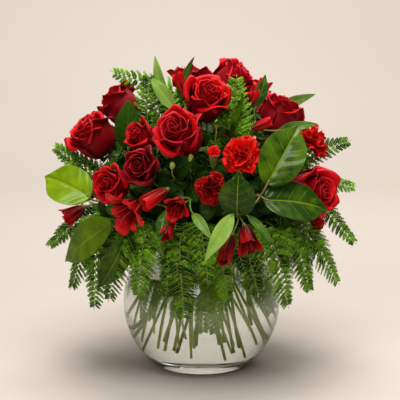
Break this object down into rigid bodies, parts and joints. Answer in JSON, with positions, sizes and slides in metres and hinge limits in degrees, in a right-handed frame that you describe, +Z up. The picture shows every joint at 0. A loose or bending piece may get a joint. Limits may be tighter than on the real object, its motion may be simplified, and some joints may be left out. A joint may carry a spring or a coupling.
{
  "type": "roses in a vase",
  "caption": "Domed bouquet of red roses, spray roses, carnations and alstroemeria with broad leaves and fern, in a clear bubble bowl of water.",
  "frame": {"origin": "middle of the flat foot of the bowl, on the surface it stands on", "axes": "+Z up; the front of the bouquet faces -Y, with +X to its right as seen from the front"},
  "size_m": [0.3911, 0.3569, 0.3974],
  "materials": {
    "glass": "clear gloss",
    "water": "clear, still",
    "rose_petal": "velvety",
    "spray_petal": "velvety",
    "carnation_petal": "matte",
    "stem": "satin",
    "alstroemeria": "satin",
    "broad_leaf": "waxy",
    "fern": "matte"
  },
  "bodies": {
    "root": {"vase": "glass", "water": "water", "rose_01": "rose_petal", "rose_02": "rose_petal", "rose_03": "rose_petal", "rose_04": "rose_petal", "rose_05": "rose_petal", "rose_06": "rose_petal", "rose_07": "rose_petal", "rose_08": "rose_petal", "rose_09": "rose_petal", "rose_10": "rose_petal", "rose_11": "rose_petal", "spray_rose_01a": "spray_petal", "spray_rose_01b": "spray_petal", "spray_rose_01c": "spray_petal", "spray_rose_02a": "spray_petal", "spray_rose_02b": "spray_petal", "carnation_01a": "carnation_petal", "carnation_01b": "carnation_petal", "carnation_02a": "carnation_petal", "carnation_02b": "carnation_petal", "carnation_03a": "carnation_petal", "carnation_stem_01": "stem", "carnation_stem_02": "stem", "carnation_stem_03": "stem", "rose_stem_01": "stem", "rose_stem_02": "stem", "rose_stem_03": "stem", "rose_stem_04": "stem", "rose_stem_05": "stem", "rose_stem_06": "stem", "rose_stem_07": "stem", "rose_stem_08": "stem", "rose_stem_09": "stem", "rose_stem_10": "stem", "rose_stem_11": "stem", "spray_rose_stem_01": "stem", "spray_rose_stem_02": "stem", "alstroemeria_01": "alstroemeria", "alstroemeria_02": "alstroemeria", "alstroemeria_03": "alstroemeria", "alstroemeria_04": "alstroemeria", "alstroemeria_05": "alstroemeria", "alstroemeria_06": "alstroemeria", "alstroemeria_07": "alstroemeria", "alstroemeria_08": "alstroemeria", "salal_01": "broad_leaf", "salal_02": "broad_leaf", "salal_03": "broad_leaf", "salal_04": "broad_leaf", "salal_05": "broad_leaf", "fern_01": "fern", "fern_02": "fern", "fern_03": "fern", "fern_04": "fern", "fern_05": "fern", "fern_06": "fern", "fern_07": "fern", "fern_08": "fern"}
  },
  "joints": []
}
